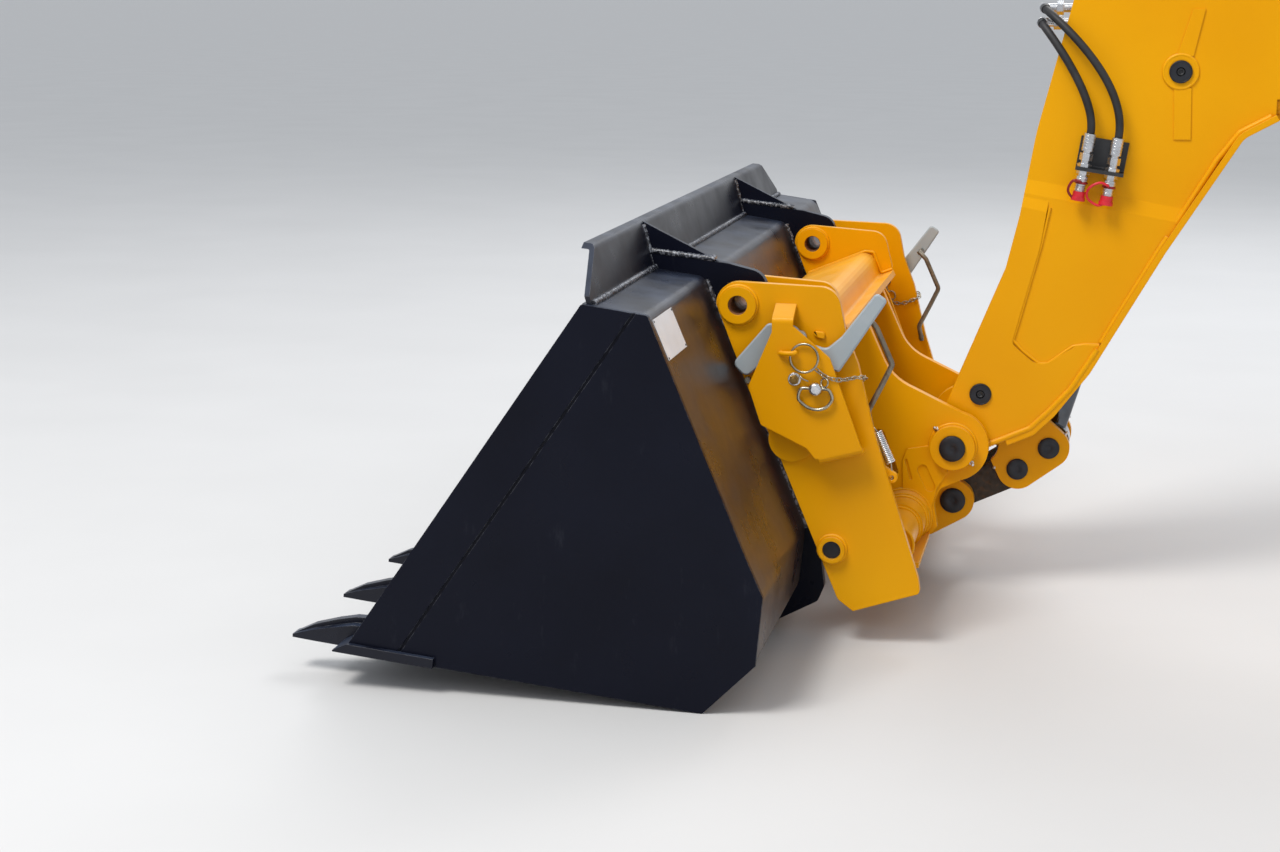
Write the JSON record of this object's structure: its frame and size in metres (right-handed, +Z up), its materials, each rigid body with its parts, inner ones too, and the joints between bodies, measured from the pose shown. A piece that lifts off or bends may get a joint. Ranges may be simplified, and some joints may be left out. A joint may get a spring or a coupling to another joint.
{
  "type": "telescopic handler boom head with bucket",
  "caption": "Fly section of a telescopic boom with a drop nose, tilt ram and linkage, quick-release carriage and a toothed loading bucket.",
  "frame": {"origin": "middle of the bore at the tail of the fly section, where the extension ram is pinned", "axes": "+X forward along the boom, +Y to its left, +Z up"},
  "size_m": [4.0394, 2.35, 1.5357],
  "materials": {
    "yellow_paint": "satin",
    "black_paint": "satin",
    "pin_steel": "satin",
    "black_metal": "matte",
    "zinc": "satin",
    "hose_rubber": "matte",
    "red_plastic": "gloss",
    "nylon": "matte",
    "dark_casting": "matte",
    "chrome_rod": "gloss",
    "edge_steel": "satin"
  },
  "bodies": {
    "boom": {"boom_tube": "yellow_paint", "tail_boss": "yellow_paint", "wear_pads": "nylon", "nose_side_left": "yellow_paint", "nose_side_right": "yellow_paint", "nose_front_plate": "yellow_paint", "nose_lower_plate": "yellow_paint", "nose_pivot_tube": "yellow_paint", "pivot_pin": "pin_steel", "lever_pin": "pin_steel", "ram_anchor_pin": "pin_steel", "coupling_bracket": "black_metal", "couplings": "zinc", "auxiliary_hoses": "hose_rubber", "hose_elbows": "zinc", "coupling_caps": "red_plastic"},
    "carriage": {"arm_left": "yellow_paint", "arm_right": "yellow_paint", "cross_tube": "yellow_paint", "link_ears": "yellow_paint", "ear_pins": "pin_steel", "top_beam": "yellow_paint", "frame_outer_left": "yellow_paint", "frame_inner_left": "yellow_paint", "frame_outer_right": "yellow_paint", "frame_inner_right": "yellow_paint", "hook_pin_left": "yellow_paint", "hook_pin_right": "yellow_paint", "lock_pin_left": "pin_steel", "lock_pin_right": "pin_steel", "latch_cover_left": "yellow_paint", "latch_cover_right": "yellow_paint", "latch_lever_left": "zinc", "latch_lever_right": "zinc", "latch_rod_left": "zinc", "latch_rod_right": "zinc", "bucket_shell": "black_paint", "bucket_side_left": "black_paint", "bucket_side_right": "black_paint", "bucket_guard": "black_paint", "bucket_hook_left": "black_paint", "bucket_hook_right": "black_paint", "cutting_edge": "edge_steel", "teeth": "edge_steel"},
    "lever": {"tilt_lever": "yellow_paint", "tilt_lever_pins": "pin_steel"},
    "link": {"tilt_link": "dark_casting"},
    "barrel": {"ram_barrel": "black_paint"},
    "rod": {"ram_rod": "chrome_rod"}
  },
  "joints": [
    {"name": "bucket_tilt", "type": "hinge", "parent": "boom", "child": "carriage", "pos_m": [2.59, 0, -0.965], "axis": [0, -1, 0], "range_deg": [-80, 30]},
    {"name": "lever_turn", "type": "hinge", "parent": "boom", "child": "lever", "pos_m": [2.533, 0, -0.846], "axis": [0, -1, 0], "range_deg": [-58, 22]},
    {"name": "link_turn", "type": "hinge", "parent": "lever", "child": "link", "pos_m": [2.445, 0, -1.035], "axis": [0, -1, 0], "range_deg": [-13, 34]},
    {"name": "ram_swing", "type": "hinge", "parent": "boom", "child": "barrel", "pos_m": [2.118, 0, -0.103], "axis": [0, -1, 0], "range_deg": [-2, 1]},
    {"name": "ram_stroke", "type": "slide", "parent": "barrel", "child": "rod", "axis": [0.2799, 0, -0.96], "range_m": [-0.195, 0.075]}
  ],
  "couplings": [
    {"joint": "lever_turn", "follows": "bucket_tilt", "ratio": 0.712},
    {"joint": "link_turn", "follows": "bucket_tilt", "ratio": -0.412},
    {"joint": "ram_swing", "follows": "bucket_tilt", "ratio": 0.0194},
    {"joint": "ram_stroke", "follows": "bucket_tilt", "m_per_rad": 0.1378}
  ]
}
